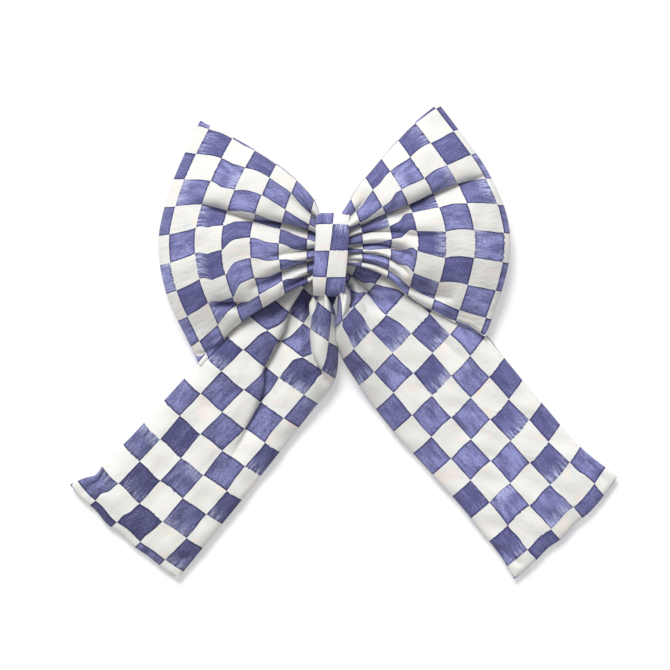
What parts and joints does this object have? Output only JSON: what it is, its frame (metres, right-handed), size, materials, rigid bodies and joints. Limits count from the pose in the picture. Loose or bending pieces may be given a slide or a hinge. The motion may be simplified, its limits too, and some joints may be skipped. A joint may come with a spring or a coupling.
{
  "type": "stuffed fabric gift bow",
  "caption": "Pre-made stuffed fabric bow for gifts: two puffy loops, a padded knot band and two wide tails, laid flat on its back.",
  "frame": {"origin": "centre of the knot band's flat back, on the plane that the bow rests on", "axes": "+Z out of the bow's face, +X to the right-hand loop as its face is seen, +Y from the tails to the loops' top corners"},
  "size_m": [0.4648, 0.3818, 0.0508],
  "materials": {
    "loop_fabric": "matte",
    "tail_fabric": "matte",
    "knot_fabric": "matte",
    "lining": "matte",
    "wadding": "matte",
    "thread": "matte"
  },
  "bodies": {
    "knot": {"knot_band": "knot_fabric", "knot_band_wadding": "wadding", "knot_band_lining": "lining", "knot_band_stitches": "thread", "loop_waist_front_panel": "loop_fabric", "loop_waist_back_panel": "loop_fabric", "loop_waist_filling": "wadding", "waist_tie": "thread", "tail_waist_front_panel": "tail_fabric", "tail_waist_back_panel": "tail_fabric", "tail_waist_filling": "wadding"},
    "left_loop": {"left_loop_front_panel": "loop_fabric", "left_loop_back_panel": "loop_fabric", "left_loop_filling": "wadding"},
    "left_tail": {"left_tail_front_panel": "tail_fabric", "left_tail_back_panel": "tail_fabric", "left_tail_filling": "wadding", "left_tail_end_stitches": "thread"},
    "right_loop": {"right_loop_front_panel": "loop_fabric", "right_loop_back_panel": "loop_fabric", "right_loop_filling": "wadding"},
    "right_tail": {"right_tail_front_panel": "tail_fabric", "right_tail_back_panel": "tail_fabric", "right_tail_filling": "wadding", "right_tail_end_stitches": "thread"}
  },
  "joints": [
    {"name": "left_loop_lift", "type": "hinge", "parent": "knot", "child": "left_loop", "pos_m": [-0.0155, 0, 0.0398], "axis": [0, 1, 0], "range_deg": [0, 25]},
    {"name": "right_loop_lift", "type": "hinge", "parent": "knot", "child": "right_loop", "pos_m": [0.0155, 0, 0.0398], "axis": [0, -1, 0], "range_deg": [0, 25]},
    {"name": "left_tail_fold", "type": "hinge", "parent": "knot", "child": "left_tail", "pos_m": [-0.02412, -0.03591, 0.0012], "axis": [0.7955, -0.606, 0], "range_deg": [0, 40]},
    {"name": "right_tail_fold", "type": "hinge", "parent": "knot", "child": "right_tail", "pos_m": [0.02549, -0.03477, 0.0012], "axis": [0.7385, 0.6743, 0], "range_deg": [0, 40]}
  ]
}
